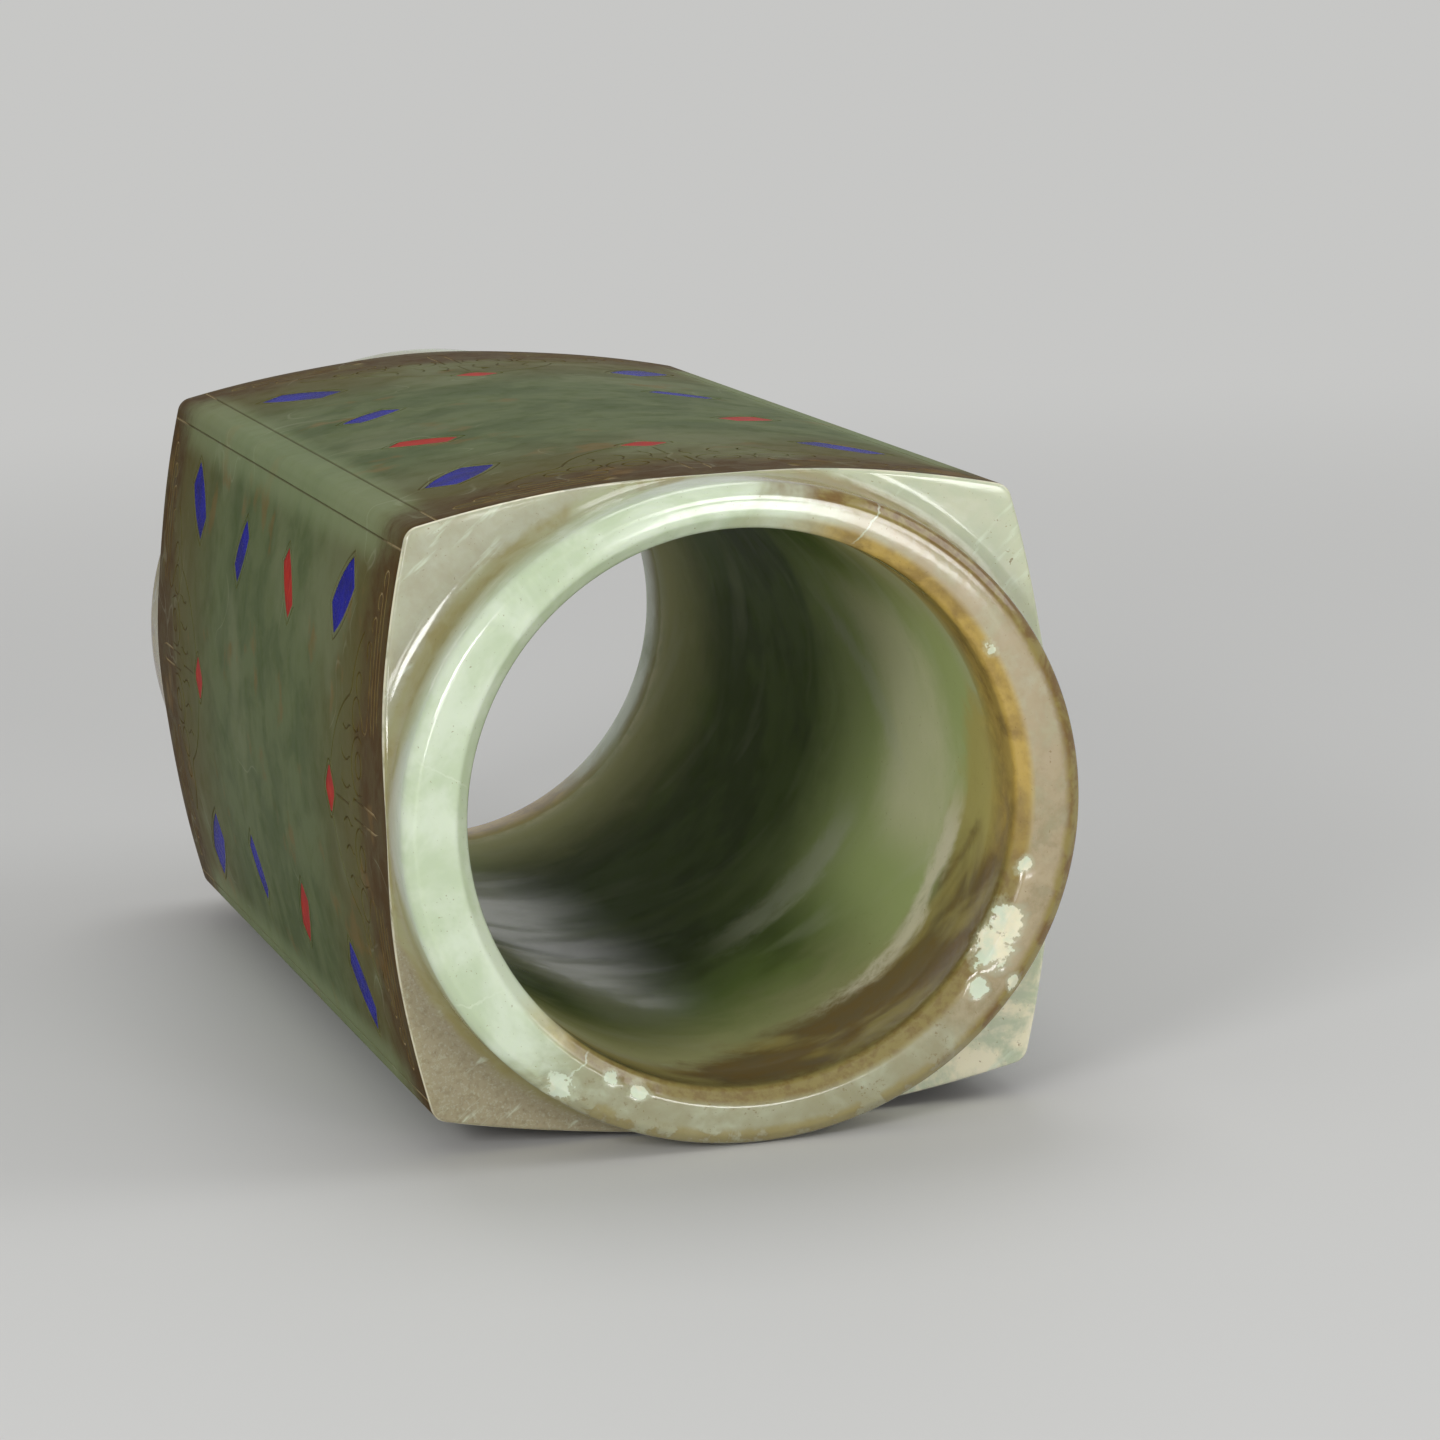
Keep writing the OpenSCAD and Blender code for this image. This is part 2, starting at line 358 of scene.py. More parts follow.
def line(*points, step=3.0):
    """Points along a chain of straight pieces."""
    out = []
    for a, b in zip(points, points[1:]):
        n = max(1, int(math.dist(a, b) / step))
        t = np.linspace(0, 1, n, endpoint=False)[:, None]
        out.append(np.array(a) + (np.array(b) - np.array(a)) * t)
    return np.concatenate(out + [np.array([points[-1]], float)])


def bow(a, b, rise, step=0.6):
    """Points of a shallow bow from a to b that stands off to the left by rise: a parabola over the chord."""
    a, b = np.array(a, float), np.array(b, float)
    chord = b - a
    n = max(4, int(np.linalg.norm(chord) / step))
    t = np.linspace(0, 1, n)[:, None]
    left = np.array([-chord[1], chord[0]]) / np.linalg.norm(chord)
    return a + chord * t + left * 4 * rise * t * (1 - t)


def feather(u, y, end):
    """A feather stroke: a small hook at its outer end, then a long line that runs in beside the arris."""
    hook = arc(u - 0.9, y, 0.9, 140, -75, 0.3)
    return np.concatenate([hook, line(hook[-1] - (0.6, 0.02), end)])


# The border lines' place out from the middle line and in from the ends, and the middle stroke's two ends
BORDER_OUT, BORDER_IN = 28.0, 0.9
MIDDLE_STROKE = (16.2, 21.6)
# Half a carved line's width, its depth, and how far the carved rim round an inlay stands off from it
LINE_HALF, LINE_DEPTH = 0.16, 0.14
RIM_GAP = 0.62


def carved_lines():
    """The carved lines of one face, as chains of points across and along it.

    The figure is drawn for one quarter, with y counted from the shoulder, and mirrored to the other three:
    cloud scrolls in a row, short strokes over them, a fan of feathers beside the arris and a wide arch."""
    quarter = [
        line((1.0, 3.8), (1.0, 13.6)),
        arc(4.7, 11.2, 3.0, 195, -20),
        arc(4.8, 11.0, 1.35, 0, 330),
        arc(9.8, 12.3, 1.75, -60, 230),
        arc(9.7, 8.3, 1.3, 100, 290),
        arc(13.0, 11.6, 1.2, -80, 150),
        bow((2.1, 15.6), (2.1, 19.2), 0.55),
        bow((5.0, 15.6), (5.0, 19.0), 0.55),
        bow((8.2, 15.8), (8.0, 18.6), 0.5),
        bow((2.8, 25.0), (11.4, 15.6), 1.4),
        bow((12.2, 14.8), (18.4, 10.9), 0.7),
        feather(25.4, 4.3, (10.4, 2.7)),
        feather(23.0, 5.5, (9.2, 3.9)),
        feather(20.4, 6.7, (9.6, 5.2)),
        feather(17.8, 8.0, (11.4, 6.6)),
    ]
    chains = []
    for chain in quarter:
        for side in (-1, 1):
            for end in (-1, 1):
                chains.append(np.stack([side * chain[:, 0], end * (HALF_L - chain[:, 1])], 1))
    for end in (-1, 1):
        chains.append(line(*((0, end * (HALF_L - at)) for at in MIDDLE_STROKE)))
    for side in (-1, 1):
        chains.append(line(*((side * BORDER_OUT, end * (HALF_L - BORDER_IN)) for end in (-1, 1))))
    return chains


def closed(loop):
    """A loop with its first point again at its end."""
    return np.concatenate([loop, loop[:1]])


def stroke_sides(chain, is_loop):
    """The two edges of a carved line, half its width to either side of it."""
    if is_loop:
        run = np.roll(chain, -1, 0) - np.roll(chain, 1, 0)
    else:
        run = np.gradient(chain, axis=0)
    run /= np.linalg.norm(run, axis=1, keepdims=True) + 1e-12
    side = np.stack([-run[:, 1], run[:, 0]], 1) * LINE_HALF
    return chain + side, chain - side


def distance_to(points, chains):
    """Least distance from each point to any of the chains' straight pieces."""
    best = np.full(len(points), 1e9)
    for chain in chains:
        low, high = chain.min(0) - 1, chain.max(0) + 1
        near = np.all((points > low) & (points < high), 1)
        if not near.any():
            continue
        p = points[near][:, None]
        a, b = chain[:-1][None], chain[1:][None]
        ab = b - a
        t = np.clip(((p - a) * ab).sum(2) / ((ab ** 2).sum(2) + 1e-12), 0, 1)
        d = np.linalg.norm(p - a - ab * t[..., None], axis=2).min(1)
        best[near] = np.minimum(best[near], d)
    return best


def inside(points, loop):
    """Which points lie inside a closed loop: an even-odd count of crossings."""
    x, y = points[:, 0][:, None], points[:, 1][:, None]
    ax, ay = loop[:, 0][None], loop[:, 1][None]
    bx, by = np.roll(loop[:, 0], -1)[None], np.roll(loop[:, 1], -1)[None]
    cross = (ay > y) != (by > y)
    at = ax + (y - ay) * (bx - ax) / np.where(by == ay, 1e-12, by - ay)
    return (np.sum(cross & (x < at), 1) % 2) == 1


# Points that fill a flat face, across and along, and how far they keep from carved lines and from the edge
FILL_COLS, FILL_ROWS = 46, 74
CLEAR_OF_LINES, CLEAR_OF_EDGE = 0.55, 0.7


def face_sheet(k, near_y, far_y, rows_y):
    """Cuts face k, unrolled flat, into triangles that follow its edge, its pockets and its carved lines.

    Returns the flat places, the triangles, which place each edge point became, and each pocket's loop."""
    _, r, _, _ = face_sizes(k)
    s_max = r * touch_angle(k)
    s = np.linspace(-s_max, s_max, FACE_COLS + 1)
    edge = np.concatenate([np.stack([s, near_y], 1),
                           np.stack([0 * rows_y + s_max, rows_y], 1),
                           np.stack([s[::-1], far_y[::-1]], 1),
                           np.stack([0 * rows_y - s_max, rows_y[::-1]], 1)])
    points, links = [edge], [[(i, (i + 1) % len(edge)) for i in range(len(edge))]]
    count = len(edge)

    def add(chain, is_loop):
        nonlocal count
        n = len(chain)
        points.append(chain)
        links.append([(count + i, count + (i + 1) % n) for i in range(n if is_loop else n - 1)])
        count += n

    loops, rims = {}, []
    for name, (form, slant, across, along) in LAYOUT.items():
        middle = np.array([r * math.asin(across / r), along])
        loops[name] = turned(inlay_outline(form, CEMENT_GAP), slant) + middle
        rim = turned(inlay_outline(form, RIM_GAP), slant) + middle
        rims.append(closed(rim))
        add(loops[name], True)
        for chain in (rim, *stroke_sides(rim, True)):
            add(chain, True)
    lines = carved_lines()
    for chain in lines:
        left, right = stroke_sides(chain, False)
        add(chain, False)
        add(np.concatenate([left, right[::-1]]), True)
    lines = lines + rims
    gx, gy = np.linspace(-s_max, s_max, FILL_COLS)[1:-1], np.linspace(-HALF_L, HALF_L, FILL_ROWS)[1:-1]
    gx, gy = np.meshgrid(gx, gy)
    grid = np.stack([gx.ravel(), gy.ravel()], 1)
    keep = distance_to(grid, lines + [closed(loop) for loop in loops.values()]) > CLEAR_OF_LINES
    keep &= inside(grid, edge) & (distance_to(grid, [closed(edge)]) > CLEAR_OF_EDGE)
    points.append(grid[keep])
    flat = np.concatenate(points)
    verts, _, tris, origin, _, _ = delaunay_2d_cdt(
        [Vector(p) for p in flat], [e for chain in links for e in chain], [], 0, 1e-6, True)
    verts = np.array([[v[0], v[1]] for v in verts])
    tris = np.array([t for t in tris if len(t) == 3])
    made = {}
    for new, olds in enumerate(origin):
        for old in olds:
            made[old] = new
    middle = verts[tris].mean(1)
    keep = inside(middle, edge)
    for loop in loops.values():
        keep &= ~inside(middle, loop)
    tris = tris[keep]
    a, b, c = (verts[tris[:, i]] for i in range(3))
    area = (b[:, 0] - a[:, 0]) * (c[:, 1] - a[:, 1]) - (b[:, 1] - a[:, 1]) * (c[:, 0] - a[:, 0])
    tris[area < 0] = tris[area < 0][:, ::-1]
    tris = tris[np.abs(area) > 1e-9]
    depth = LINE_DEPTH * np.clip(1 - distance_to(verts, lines) / LINE_HALF, 0, 1)
    starts, at = {}, len(edge)
    for name, (form, *_) in LAYOUT.items():
        n = len(loops[name])
        starts[name] = [made[at + i] for i in range(n)]
        at += n + 3 * len(inlay_outline(form, RIM_GAP))
    return verts, tris, [made[i] for i in range(len(edge))], starts, depth


def lift(places):
    """Millimetres from the bore's axis to metres over the ground."""
    return (np.asarray(places) + np.array([0, 0, HALF_H])) * MM


# Edges sharper than this, in degrees, stay crisp
SHARP_ANGLE = 32


class Shell:
    """Collects the tube's places, faces and zones, then makes one closed mesh of them."""

    def __init__(self):
        self.places, self.quads, self.zone, self.worn, self.count = [], [], [], [], 0

    def add(self, places, zone, worn=0):
        """Adds places with their zone and painted edge highlight, and gives the number of the first."""
        places = np.asarray(places, float).reshape(-1, 3)
        first = self.count
        self.places.append(places)
        self.zone.append(np.broadcast_to(np.asarray(zone, float), (len(places), 4)))
        self.worn.append(np.broadcast_to(np.asarray(worn, float), len(places)))
        self.count += len(places)
        return first

    def add_quads(self, *corners):
        """Adds faces of four corners, each corner an array of point numbers."""
        self.quads += np.stack(corners, -1).reshape(-1, 4).tolist()

    def make(self, name):
        """The finished mesh, smooth but for its sharp edges."""
        faces = [tuple(int(i) for i in f) for f in self.quads]
        mesh = bpy.data.meshes.new(name)
        mesh.from_pydata(lift(np.concatenate(self.places)).tolist(), [], faces)
        colours = mesh.color_attributes.new("zone", "FLOAT_COLOR", "POINT")
        colours.data.foreach_set("color", np.concatenate(self.zone).astype(np.float32).ravel())
        # Painted highlight along the rounded end edges, one value per point
        worn = mesh.attributes.new("worn", "FLOAT", "POINT")
        worn.data.foreach_set("value", np.concatenate(self.worn).astype(np.float32))
        mesh.update()
        mesh.polygons.foreach_set("use_smooth", [True] * len(mesh.polygons))
        mesh.set_sharp_from_angle(angle=math.radians(SHARP_ANGLE))
        return mesh


# Zones that the jade reads from a colour: red on the faces, green in the bore, blue in the pockets, and
# nothing on the ends. Alpha is the share of its full depth that a carved line has at a point
OUTER, END, BORE, POCKET = (1, 0, 0, 0), (0, 0, 0, 0), (0, 1, 0, 0), (0, 0, 1, 0)
# Shares of a pocket's depth at which its wall has points
POCKET_STEPS = (0.08, 1)


def jade_mesh():
    """The whole tube as one closed shell: the ring grid, four corner strips and four faces with pockets."""
    shell = Shell()
    grid, zones = ring_grid()
    grid = chipped(grid)
    rows = len(grid)
    zone = np.zeros((rows, COLS, 4))
    for i, word in enumerate(zones):
        zone[i] = BORE if word == "bore" else OUTER if i in (0, rows - 1) else END
    # A pale line is painted on the rows just over each rounded edge: a painted highlight along the arris
    worn = np.zeros(rows)
    worn[[1, 2, -3, -2]] = 1
    first = shell.add(grid.reshape(-1, 3), zone.reshape(-1, 4), np.repeat(worn, COLS))
    ring = first + np.arange(rows * COLS).reshape(rows, COLS)
    a, b = ring, np.roll(ring, -1, 1)
    shell.add_quads(a[:-1], a[1:], b[1:], b[:-1])

    flat_end = HALF_L - ARRIS
    rows_y = np.linspace(-flat_end, flat_end, FACE_ROWS + 1)[1:-1]
    strips = []
    for k in range(4):
        cols = (k * PER_FACE + FACE_COLS + np.arange(CORNER_COLS + 1)) % COLS
        places = np.stack(np.broadcast_arrays(OUTLINE[cols, 0], rows_y[:, None], OUTLINE[cols, 1]), 2)
        strip = shell.add(places, OUTER) + np.arange(places[..., 0].size).reshape(places.shape[:2])
        strips.append(strip)
        full = np.concatenate([ring[:1, cols], strip, ring[-1:, cols]])
        shell.add_quads(full[:-1, :-1], full[:-1, 1:], full[1:, 1:], full[1:, :-1])

    sheets = {}
    for k in range(4):
        half, r, _, _ = face_sizes(k)
        cols = (k * PER_FACE + np.arange(FACE_COLS + 1)) % COLS
        if k % 2 not in sheets:
            sheets[k % 2] = face_sheet(k, grid[0, cols, 1], grid[-1, cols, 1], rows_y)
        verts, tris, edge, starts, depth = sheets[k % 2]
        left, right = strips[k - 1][:, -1], strips[k][:, 0]
        edge_ids = np.concatenate([ring[0, cols], right, ring[-1, cols][::-1], left[::-1]])
        ids = np.full(len(verts), -1)
        ids[edge] = edge_ids
        new = np.flatnonzero(ids < 0)
        turn = verts[new, 0] / r
        u, v = (r - depth[new]) * np.sin(turn), half - r + (r - depth[new]) * np.cos(turn)
        x, z = to_face(u, v, k)
        colour = np.zeros((len(new), 4))
        colour[:, 0] = 1
        colour[:, 3] = depth[new] / LINE_DEPTH
        start = shell.add(np.stack([x, verts[new, 1], z], 1), colour)
        ids[new] = start + np.arange(len(new))
        shell.quads += ids[tris].tolist()
        for name, (form, slant, across, along) in LAYOUT.items():
            loop = turned(inlay_outline(form, CEMENT_GAP), slant)
            p, q = loop[:, 0], loop[:, 1]
            lean = math.asin(across / r)
            high, deep = np.sqrt(r * r - p * p), r - POCKET_DEPTH - FLOOR_GAP
            rings = [ids[starts[name]]]
            for share in POCKET_STEPS:
                height = high + (deep - high) * share
                uu = p * math.cos(lean) + height * math.sin(lean)
                vv = -p * math.sin(lean) + height * math.cos(lean) + half - r
                xx, zz = to_face(uu, vv, k)
                start = shell.add(np.stack([xx, q + along, zz], 1), POCKET)
                rings.append(start + np.arange(len(loop)))
            for upper, lower in zip(rings, rings[1:]):
                shell.add_quads(upper, np.roll(upper, -1), np.roll(lower, -1), lower)
            shell.quads.append(rings[-1].tolist())
    return shell.make("jade_tube_carved")


# ------------------------ shader maths


def operator(kind, swapped=False):
    """A method of Knob that adds a Math node of this kind. Swapped, the knob comes after the other value."""
    def run(self, *others):
        node = self.tree.nodes.new("ShaderNodeMath")
        node.operation = kind
        for socket, value in zip(node.inputs, (*others, self) if swapped else (self, *others)):
            plug_in(self.tree, socket, value)
        return Knob(self.tree, node.outputs[0])
    return run


class Knob:
    """One node socket with the operators of arithmetic."""

    __add__, __radd__ = operator("ADD"), operator("ADD", True)
    __sub__, __rsub__ = operator("SUBTRACT"), operator("SUBTRACT", True)
    __mul__, __rmul__ = operator("MULTIPLY"), operator("MULTIPLY", True)
    __truediv__, root, atan2 = operator("DIVIDE"), operator("SQRT"), operator("ARCTAN2")
    abs, least, most, wrap = (operator(kind) for kind in ("ABSOLUTE", "MINIMUM", "MAXIMUM", "WRAP"))

    def __init__(self, tree, socket):
        self.tree, self.socket = tree, socket

    def wrapped(self):
        """The same angle, brought between -180 and 180 degrees."""
        return self.wrap(180.0, -180.0)


def placed(name, data):
    """A new object of the scene."""
    obj = bpy.data.objects.new(name, data)
    bpy.context.scene.collection.objects.link(obj)
    return obj


def plug_in(tree, socket, value):
    """Links a knob to a socket, or sets a plain value on it."""
    if isinstance(value, Knob):
        tree.links.new(value.socket, socket)
    elif isinstance(value, bpy.types.NodeSocket):
        tree.links.new(value, socket)
    else:
        socket.default_value = value


class Finish:
    """A material or a world under construction, with the few helpers that its recipe needs."""

    def __init__(self, owner, kind="Material"):
        self.owner = owner
        owner.use_nodes = True
        self.tree = owner.node_tree
        self.tree.nodes.clear()
        self.out = self.tree.nodes.new(f"ShaderNodeOutput{kind}")

    def node(self, kind, settings=None, out=0, **values):
        """Adds a node: its settings first, then its sockets by name, with underscores for spaces."""
        node = self.tree.nodes.new(kind)
        for key, value in (settings or {}).items():
            setattr(node, key, value)
        for key, value in values.items():
            key = key.replace("_", " ")
            plug_in(self.tree, node.inputs[int(key) if key.isdigit() else key], value)
        return Knob(self.tree, node.outputs[out])

    def place(self):
        """Object coordinates in millimetres, counted from the middle of the tube's axis."""
        at = self.node("ShaderNodeTexCoord", out=3)
        return self.node("ShaderNodeMapping", {"vector_type": "POINT"}, Vector=at,
                         Location=(0, 0, -HALF_H), Scale=(1 / MM, 1 / MM, 1 / MM))

    def attribute(self, name, out):
        """A mesh attribute, read as a colour, a vector, a number or an alpha: output 0, 1, 2 or 3."""
        return self.node("ShaderNodeAttribute", {"attribute_name": name}, out=out)

    def split(self, vector):
        """The three parts of a vector or a colour."""
        node = self.tree.nodes.new("ShaderNodeSeparateXYZ")
        plug_in(self.tree, node.inputs[0], vector)
        return tuple(Knob(self.tree, s) for s in node.outputs)

    def noise(self, vector, scale, detail=3, rough=0.55, warp=0.0):
        """Noise in about 0..1 whose features are 1/scale millimetres wide."""
        return self.node("ShaderNodeTexNoise", Vector=vector, Scale=scale, Detail=detail,
                         Roughness=rough, Distortion=warp)

    def step(self, value, low, high):
        """Smooth step from 0 at low to 1 at high."""
        return self.node("ShaderNodeMapRange", {"interpolation_type": "SMOOTHSTEP"}, Value=value,
                         From_Min=low, From_Max=high, To_Min=0.0, To_Max=1.0)

    def mix(self, share, a, b):
        """Blends two colours."""
        node = self.tree.nodes.new("ShaderNodeMix")
        node.data_type = "RGBA"
        plug_in(self.tree, node.inputs[0], share)
        for socket, value in ((node.inputs[6], a), (node.inputs[7], b)):
            plug_in(self.tree, socket, (*value, 1) if isinstance(value, tuple) and len(value) == 3 else value)
        return Knob(self.tree, node.outputs[2])

    def vector(self, kind, a, b, out=0):
        """Vector arithmetic. Output 0 is a vector and output 1 a number."""
        return self.node("ShaderNodeVectorMath", {"operation": kind}, out=out, **{"0": a, "1": b})

    def stretched(self, vector, scale):
        """The same places, drawn out by a scale for each axis."""
        return self.vector("MULTIPLY", vector, scale)

    def bump(self, height, strength, distance):
        """A surface roughened by height, over distance in metres."""
        return self.node("ShaderNodeBump", Height=height, Strength=strength, Distance=distance)

    def principled(self, **values):
        """A Principled shader."""
        return self.node("ShaderNodeBsdfPrincipled", **values)

    def blend(self, share, a, b):
        """Blends two shaders."""
        return self.node("ShaderNodeMixShader", **{"0": share, "1": a, "2": b})

    def finish(self, shader):
        """Ends the recipe in a shader and gives the material or the world."""
        plug_in(self.tree, self.out.inputs["Surface"], shader)
        return self.owner


def tone(red, green, blue):
    """A colour as it looks on a screen, 0 to 255, in the linear values that a shader takes."""
    c = np.array([red, green, blue]) / 255
    return tuple(np.where(c <= 0.04045, c / 12.92, ((c + 0.055) / 1.055) ** 2.4).tolist())


# Collars
MINT, PALE_MINT, GREY_GREEN = tone(180, 194, 164), tone(198, 209, 187), tone(140, 134, 104)
BEIGE, PINK_BEIGE, FOOT_OLIVE = tone(138, 122, 88), tone(166, 152, 122), tone(138, 128, 76)
WOOD_BROWN, LIP_OLIVE = tone(110, 84, 38), tone(134, 120, 66)
# Shoulders and chips
GREY_WHITE, GREEN_WHITE, SMOKE = tone(168, 170, 148), tone(178, 186, 160), tone(146, 137, 110)
CREAM, MILK = tone(222, 216, 188), tone(186, 190, 164)
# Faces, pockets and carved lines
OLIVE, SAGE, DEEP_SAGE, PALE_SAGE = tone(82, 76, 36), tone(88, 98, 62), tone(72, 84, 48), tone(124, 136, 98)
HAZE, DARK_BROWN, POCKET_BROWN = tone(106, 112, 80), tone(68, 47, 14), tone(44, 38, 26)
SCRATCHED = tone(178, 160, 120)
# Bore, with painted light near each mouth and on the right wall, and the stains in its mouth
BORE_MOUTH_PAINTED_LIGHT, BORE_GREEN, BORE_DARK = tone(168, 168, 120), tone(104, 122, 60), tone(86, 102, 46)
BORE_RIGHT_PAINTED_LIGHT, BORE_RIGHT_PAINTED_LIGHT_BAND = tone(166, 180, 118), tone(204, 204, 164)
AMBER, YELLOW_OLIVE, GREY_BROWN = tone(188, 158, 76), tone(176, 164, 96), tone(104, 86, 56)
# Inlays
LAPIS_DEEP, LAPIS_BLUE, LAPIS_PALE = tone(8, 8, 104), tone(14, 16, 142), tone(44, 62, 168)
GOLD = tone(190, 160, 88)
CORAL_DEEP, CORAL_RED, CORAL_PALE = tone(146, 12, 6), tone(170, 32, 14), tone(204, 92, 64)

# How strongly a polished and a satin surface mirror, and how far red, green and blue light go in jade
POLISHED_IOR, SATIN_IOR = 1.55, 1.05
JADE_GLOW = (0.9, 1.0, 0.6)
# Square of a collar's width over its height, which makes its oval a circle again
OVAL_STRETCH = ((HALF_W - COLLAR_INSET) / (HALF_H - COLLAR_INSET)) ** 2
# Where the stains of the far end lie, turned about the bore from those of the near end, in degrees
FAR_TURN = 130
# Where fine pale cracks cross the end rings, in degrees round the bore
HAIRLINES = (-149, -128, 168, 64)
# How far the shoulders' pale streaks lean, in radians
STREAK_LEAN = 0.7


class Jade(Finish):
    """The jade's recipe. Its parts share places, noises, zones and the angle round the bore."""

    def __init__(self):
        super().__init__(bpy.data.materials.new("jade_polished"))
        self.p = p = self.place()
        self.x, self.y, self.z = x, y, z = self.split(p)
        self.outer, self.bore, self.pocket = self.split(self.attribute("zone", 0))
        self.broad = self.noise(p, 0.045, 3, 0.6)
        self.cloud = self.noise(p, 0.13, 4, 0.6, 0.4)
        self.patch = self.noise(p, 0.3, 4, 0.65, 0.3)
        self.grain = self.noise(p, 0.8, 4, 0.65)
        self.fine = self.noise(p, 1.7, 3, 0.6)
        self.speck = self.noise(p, 3.2, 2, 0.6)
        wound = self.node("ShaderNodeCombineXYZ", X=x * 0.04, Y=(y + z * 0.5 + x * 0.3) * 0.085, Z=z * 0.04)
        self.streak = self.noise(wound, 1.0, 3, 0.45, 0.4)
        self.from_end = (HALF_L + COLLAR_H) - y.abs()
        self.inward = self.from_end - COLLAR_H + (self.cloud - 0.5) * 12 + (self.grain - 0.5) * 5
        self.up = up = z - BORE_LIFT
        self.ring = (x * x + up * up).root()
        self.angle = up.atan2(x) * (180 / math.pi) + self.step(y, -10, 10) * FAR_TURN
        self.turn = self.angle.wrapped()

    def around(self, middle, spread, soft, wander=36):
        """1 where the angle round the bore lies within spread of middle, fading over soft degrees."""
        away = (self.angle - middle).wrapped().abs()
        return self.step(away + (self.cloud - 0.5) * wander, spread + soft, spread)

    def winding(self, first, first_deep, last, last_deep, wide):
        """A streak between two angles, each at its depth under the rim, fading over wide millimetres."""
        share = ((self.turn - first) * (1 / (last - first))).most(0).least(1)
        off = (self.from_end - share * (last_deep - first_deep) - first_deep + (self.cloud - 0.5) * 9).abs()
        ends = self.step(self.turn, first - 8, first + 10) * self.step(self.turn, last + 8, last - 10)
        return self.step(off + (self.patch - 0.5) * 4, wide, wide * 0.2) * ends

    def collars(self):
        """Mint, stained brown at the right and below, and darker down the wall."""
        f, cloud, patch, from_end = self, self.cloud, self.patch, self.from_end
        colour = f.mix(f.step(cloud, 0.36, 0.62), MINT, PALE_MINT)
        below = f.mix(f.step(cloud, 0.35, 0.75) * 0.5, GREY_GREEN, PALE_MINT)
        below = f.mix(f.step(f.fine, 0.58, 0.70) * f.step(patch, 0.52, 0.42) * 0.7, below, WOOD_BROWN)
        colour = f.mix(f.around(-72, 40, 34) * 0.9, colour, below)
        beige = f.mix(f.step(patch + (f.grain - 0.5) * 0.5, 0.30, 0.68), BEIGE, PINK_BEIGE)
        beige = f.mix(f.around(42, 22, 30) * 0.7, beige, PINK_BEIGE)
        colour = f.mix(f.around(14, 44, 34) * (0.75 + f.step(patch, 0.3, 0.6) * 0.25), colour, beige)
        # Darker olive down the collar's wall
        down = f.step(from_end + (patch - 0.5) * 2, 1.2, 6.0)
        colour = f.mix(down * (0.1 + f.around(195, 50, 40) * 0.5), colour, FOOT_OLIVE)
        oval = (f.x * f.x + f.z * f.z * OVAL_STRETCH).root()
        edge = f.step(oval + (patch - 0.5) * 1.6, 32.6, 33.6) * f.step(from_end, 7.5, 4.0)
        edge = edge * f.around(16, 58, 20).most(f.around(-84, 30, 26) * f.step(patch, 0.45, 0.55) * 0.7)
        colour = f.mix(edge, colour, f.mix(f.step(patch, 0.4, 0.6), WOOD_BROWN, LIP_OLIVE))
        # Darker olive in the fillet's foot, in patches
        foot = f.step(from_end + (patch - 0.5) * 2.2, 5.0, 7.2) * f.step(from_end, 9.7, 8.7)
        return f.mix(foot * (0.35 + f.step(cloud, 0.4, 0.6) * 0.5), colour, FOOT_OLIVE)

    def shoulders(self, colour):
        """The four flat corners round a collar's foot, each with its own white or grey."""
        f, fine, patch = self, self.fine, self.patch
        leaning = f.node("ShaderNodeVectorRotate", {"rotation_type": "Y_AXIS"}, Vector=f.p, Angle=STREAK_LEAN)
        streaky = f.noise(f.stretched(leaning, (0.12, 0.5, 0.8)), 1.0, 3, 0.55)
        left, low = f.step(f.x, 6, -6), f.step(f.z, 6, -6)
        soft = f.step(patch, 0.28, 0.72)
        upper_right = f.mix(soft, GREEN_WHITE, MILK)
        upper_left = f.mix(soft, f.mix(0.55, SMOKE, GREY_WHITE), GREY_WHITE)
        lower_right = f.mix(f.step(patch, 0.36, 0.62), GREEN_WHITE, CREAM)
        lower_left = f.mix(f.step(f.speck, 0.5, 0.75) * 0.6, SMOKE, GREY_WHITE)
        lower_left = f.mix(f.step(fine, 0.46, 0.68) * 0.25, lower_left, GREY_BROWN)
        corners = f.mix(low, f.mix(left, upper_right, upper_left), f.mix(left, lower_right, lower_left))
        shoulder = f.step(f.from_end + (patch - 0.5) * 1.2, 8.3, 9.3)
        colour = f.mix(shoulder, colour, corners)
        colour = f.mix(shoulder * f.step(streaky, 0.60, 0.72) * 0.6, colour, PALE_MINT)
        return f.mix(shoulder * f.step(fine, 0.66, 0.74) * f.step(patch, 0.5, 0.62) * 0.7, colour, WOOD_BROWN)

    def faces(self):
        """Olive green, brown beside the shoulders and paler along the corners."""
        f, inward = self, self.inward
        faces = f.mix(f.step(inward, 10, 44), OLIVE, f.mix(f.step(f.cloud, 0.36, 0.62), DEEP_SAGE, SAGE))
        faces = f.mix(f.step(f.broad, 0.5, 0.66) * 0.55, faces, HAZE)
        faces = f.mix(f.step(inward, 15, 6) * (0.65 + f.step(f.patch, 0.35, 0.6) * 0.3), faces, DARK_BROWN)
        faces = f.mix(f.step(f.noise(f.p, 0.11, 3, 0.6), 0.60, 0.70) * 0.5, faces, WOOD_BROWN)
        corner = f.step(f.x.abs().least(f.z.abs() + HALF_W - HALF_H), BORDER_OUT - 2.5, BORDER_OUT + 0.8)
        return f.mix(corner * f.step(inward, 2, 16) * 0.6, faces, PALE_SAGE)

